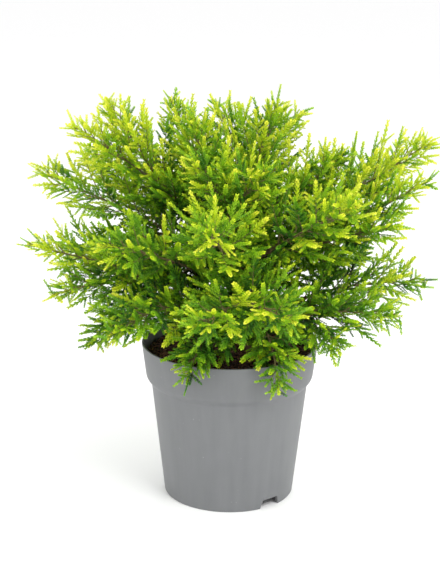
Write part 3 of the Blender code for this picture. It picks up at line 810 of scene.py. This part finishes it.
def grow_plume(shoots, twigs, curve, bare, draw):
    """A stem with twigs all round it, shorter towards its tip, and a shoot at the tip."""
    begin, bend, end = curve
    length = np.linalg.norm(bend - begin) + np.linalg.norm(end - bend)
    count = int(max(FEWEST_SIDE_TWIGS, length / SIDE_TWIG_STEP))
    last = 1.0 - STEM_SHORT_OF_TIP * TIP_SHOOT_LENGTH / length
    stem = bezier(begin, bend, end, np.linspace(0, last, STEM_RINGS))
    twigs.append((stem, STEM_RADIUS, STEM_TIP_RADIUS, STEM_SIDES))
    first_turn = draw.uniform(0, 360)
    first = FIRST_TWIG_FROM_BOUGH if bare else FIRST_TWIG_FROM_TRUNK
    for order in range(count):
        share = first + (LAST_TWIG - first) * (order + 0.5) / count
        root = bezier(begin, bend, end, share)[0]
        ahead = bezier_direction(begin, bend, end, share)
        level = across(ahead)
        over = np.cross(ahead, level)
        angle = math.radians(first_turn + order * GOLDEN_ANGLE)
        out = unit(math.cos(angle) * level + PLUME_FLATNESS * math.sin(angle) * over)
        lean = math.radians(TWIG_BASE_ANGLE + (TWIG_TIP_ANGLE - TWIG_BASE_ANGLE) * share)
        twig_ahead = unit(math.cos(lean) * ahead + math.sin(lean) * out + np.array((0, 0, TWIG_UPWARD)))
        room = ROOM_SHARE * np.linalg.norm(end - root) + LEAST_ROOM
        reach = min(SIDE_TWIG_REACH * twig_profile(share) * draw.uniform(*SIDE_TWIG_REACHES), room)
        grow_twig(shoots, twigs, root, twig_ahead, reach, draw)
    tip_ahead = bezier_direction(begin, bend, end, 1.0)
    tone = place_tone(end, draw) + PLUME_TIP_TONE
    side = turn(across(tip_ahead), tip_ahead, draw.uniform(0, PLUME_TIP_ROLL))
    shoots.append((end - tip_ahead * TIP_SHOOT_LENGTH, tip_ahead, side, TIP_SHOOT_LENGTH, tone))


def grow_inner_twigs(shoots, twigs, limb, draw):
    """Shaded twigs along a bare bough, which close the middle of the crown."""
    shares = np.linspace(FIRST_INNER_TWIG, BARE_SHARE + PAST_BARE_SHARE, INNER_TWIGS)
    for order, share in enumerate(shares):
        root = bezier(*limb, share)[0]
        ahead = bezier_direction(*limb, share)
        level = across(ahead)
        angle = math.radians(order * GOLDEN_ANGLE + draw.uniform(-INNER_TWIG_TURN, INNER_TWIG_TURN))
        out = math.cos(angle) * level + math.sin(angle) * np.cross(ahead, level)
        twig_ahead = unit(INNER_TWIG_AHEAD * ahead + INNER_TWIG_OUT * out)
        reach = INNER_TWIG_REACH * draw.uniform(*INNER_TWIG_REACHES)
        grow_twig(shoots, twigs, root, twig_ahead, reach, draw)


# The foliage's meshes

def shoot_shape():
    """A shoot along +X, one unit long: its points, its faces, and which faces are golden."""
    points, faces, golden = [], [], []
    for x, radius in CORE_ENDS:
        for corner in range(CORE_SIDES):
            angle = 2 * math.pi * corner / CORE_SIDES
            points.append((x, radius * math.cos(angle), radius * math.sin(angle)))
    for i in range(CORE_SIDES):
        j = (i + 1) % CORE_SIDES
        faces += [(i, j, CORE_SIDES + j), (i, CORE_SIDES + j, CORE_SIDES + i)]
        golden += [0, 0]
    for whorl in range(WHORLS):
        x = FIRST_WHORL + WHORL_STEP * whorl
        spread = SCALE_SPREAD * (1.0 - SCALE_NARROWING * (whorl / (WHORLS - 1)) ** 2)
        for scale in range(SCALES_A_WHORL):
            angle = math.radians(360 / SCALES_A_WHORL * scale + WHORL_TURN * (whorl % 2) + SCALE_TURN)
            out = np.array((0.0, math.cos(angle), math.sin(angle)))
            side = np.array((0.0, -math.sin(angle), math.cos(angle)))
            root = np.array((x, 0, 0)) + SCALE_ROOT * out
            belly = np.array((x + BELLY_AHEAD, 0, 0)) + BELLY_OUT * spread * out
            point = np.array((x + POINT_AHEAD, 0, 0)) + spread * out
            first = len(points)
            points += [root, belly + BELLY_HALF_WIDTH * side, point, belly - BELLY_HALF_WIDTH * side]
            faces += [(first, first + 1, first + 2), (first, first + 2, first + 3)]
            golden += [int(whorl >= FIRST_GOLDEN_WHORL)] * 2
    points = np.array([np.array(point, float) for point in points])
    points[:, 0] /= points[:, 0].max()
    return points, np.array(faces), np.array(golden)


def shoots_mesh(name, shoots, shape):
    """The shape set at every shoot. A golden face is one tone paler than the rest of it."""
    points, faces, golden = shape
    roots, ahead, side, length, tones = (np.array(column) for column in zip(*shoots))
    side = side - ahead * (side * ahead).sum(1, keepdims=True)
    side /= np.linalg.norm(side, axis=1, keepdims=True)
    over = np.cross(ahead, side)
    turned_points = (points[None, :, 0:1] * ahead[:, None]
                     + points[None, :, 1:2] * side[:, None] * SHOOT_WIDENING
                     + points[None, :, 2:3] * over[:, None] * SHOOT_FLATNESS)
    placed = roots[:, None] + turned_points * length[:, None, None]
    all_faces = faces[None] + (np.arange(len(roots)) * len(points))[:, None, None]
    base = np.clip(np.round(tones), 0, len(TONES) - 2).astype(int)
    all_tones = base[:, None] + golden[None]
    return joined_mesh(name, placed.reshape(-1, 3), all_faces.reshape(-1, 3), all_tones.ravel())


def twigs_mesh(twigs):
    """Thin tubes round the stems and twigs, whose ends are hidden in the limbs and shoots."""
    points, faces = [], []
    first = 0
    for path, thick, thin, sides in twigs:
        steps = np.gradient(path, axis=0)
        side = across(steps[0])
        turns = np.arange(sides) * 2 * math.pi / sides
        for place, step, radius in zip(path, steps, np.linspace(thick, thin, len(path))):
            ahead = unit(step)
            side = unit(side - ahead * side.dot(ahead))
            over = np.cross(ahead, side)
            points.append(place + radius * (np.cos(turns)[:, None] * side + np.sin(turns)[:, None] * over))
        for ring in range(len(path) - 1):
            for i in range(sides):
                j = (i + 1) % sides
                a, b = first + ring * sides + i, first + ring * sides + j
                faces += [(a, b, b + sides), (a, b + sides, a + sides)]
        first += sides * len(path)
    return joined_mesh("twigs", np.concatenate(points), np.array(faces))


# The foliage

def tier_of(name):
    if name.startswith("upper"):
        return "top"
    return "middle" if name.startswith("middle") else "low"


def plumes_by_tier():
    """Each plume's node, curve, whether a bough carries it, seed, and a bough it also clothes."""
    plumes = {"low": [], "middle": [], "top": []}
    seed = FIRST_PLUME_SEED
    for number, (name, bare, arch, tips) in enumerate(LIMBS):
        for order, curve in enumerate(plume_curves(number, bare, arch, tips)):
            node = "foliage_" + name + ("_" + "ab"[order] if len(tips) > 1 else "")
            limb = limb_curve(number, arch, tips) if bare and order == 0 else None
            plumes[tier_of(name)].append((node, curve, bare, seed, limb))
            seed += 1
    return plumes


def build_foliage(finishes, twig_finish):
    shape = shoot_shape()
    twigs = []
    for tier, members in plumes_by_tier().items():
        for start in range(0, len(members), PLUMES_A_PIECE):
            shoots = []
            group = members[start:start + PLUMES_A_PIECE]
            for node, curve, bare, seed, limb in group:
                draw = np.random.default_rng(seed)
                grow_plume(shoots, twigs, curve, bare, draw)
                if limb:
                    grow_inner_twigs(shoots, twigs, limb, draw)
            name = "sprays_%s_%d" % (tier, start // PLUMES_A_PIECE + 1)
            mesh = shoots_mesh(name, shoots, shape)
            new_piece(name, mesh, finishes, [member[0] for member in group])
    new_piece("fine_twigs", twigs_mesh(twigs), [twig_finish])


# The studio

def build_floor():
    bm = bmesh.new()
    bmesh.ops.create_grid(bm, x_segments=1, y_segments=1, size=FLOOR_REACH)
    floor = new_object("studio_floor", mesh_of(bm, "floor"))
    white = bpy.data.materials.new("studio white")
    white.use_nodes = True
    shader = white.node_tree.nodes["Principled BSDF"]
    shader.inputs["Base Color"].default_value = FLOOR_COLOUR
    shader.inputs["Roughness"].default_value = FLOOR_ROUGHNESS
    floor.data.materials.append(white)


def build_lights():
    world = bpy.data.worlds.new("studio")
    bpy.context.scene.world = world
    world.use_nodes = True
    background = world.node_tree.nodes["Background"]
    background.inputs["Color"].default_value = WORLD_COLOUR
    background.inputs["Strength"].default_value = WORLD_STRENGTH
    for name, place, power, size in LIGHTS:
        light = bpy.data.lights.new(name, "AREA")
        light.energy = power
        light.size = size
        lamp = new_object(name, light)
        lamp.location = place
        lamp.rotation_euler = (Vector(LIGHTS_AIM) - Vector(place)).to_track_quat("-Z", "Y").to_euler()
    bpy.context.scene.view_settings.view_transform = "Standard"


def build_camera():
    """The photograph's view: about 1.4 m from the crown, looking down by 16 degrees."""
    camera = bpy.data.cameras.new("view")
    camera.sensor_width = SENSOR_WIDTH
    camera.lens = LENS
    camera.clip_end = FARTHEST_SEEN
    eye = new_object("view", camera)
    pitch = Matrix.Rotation(math.radians(90.0 - CAMERA_PITCH), 4, "X")
    roll = Matrix.Rotation(math.radians(CAMERA_ROLL), 4, "Z")
    eye.matrix_world = Matrix.Translation(CAMERA_PLACE) @ pitch @ roll
    bpy.context.scene.camera = eye


def main():
    build_camera()
    tint = noise_tint_group()
    foliage = [material(name, tint, colour, **LEAF) for name, colour in TONES]
    bark = material("bark", tint, **BARK)
    young_bark = material("young bark", tint, **YOUNG_BARK)
    compost = material("compost", tint, **COMPOST)
    chips = [material("dark chips", tint, **DARK_CHIPS), material("red chips", tint, **RED_CHIPS)]
    build_pot(pot_material(tint))
    build_compost(compost, chips)
    build_limbs(bark)
    build_foliage(foliage, young_bark)
    build_floor()
    build_lights()


main()
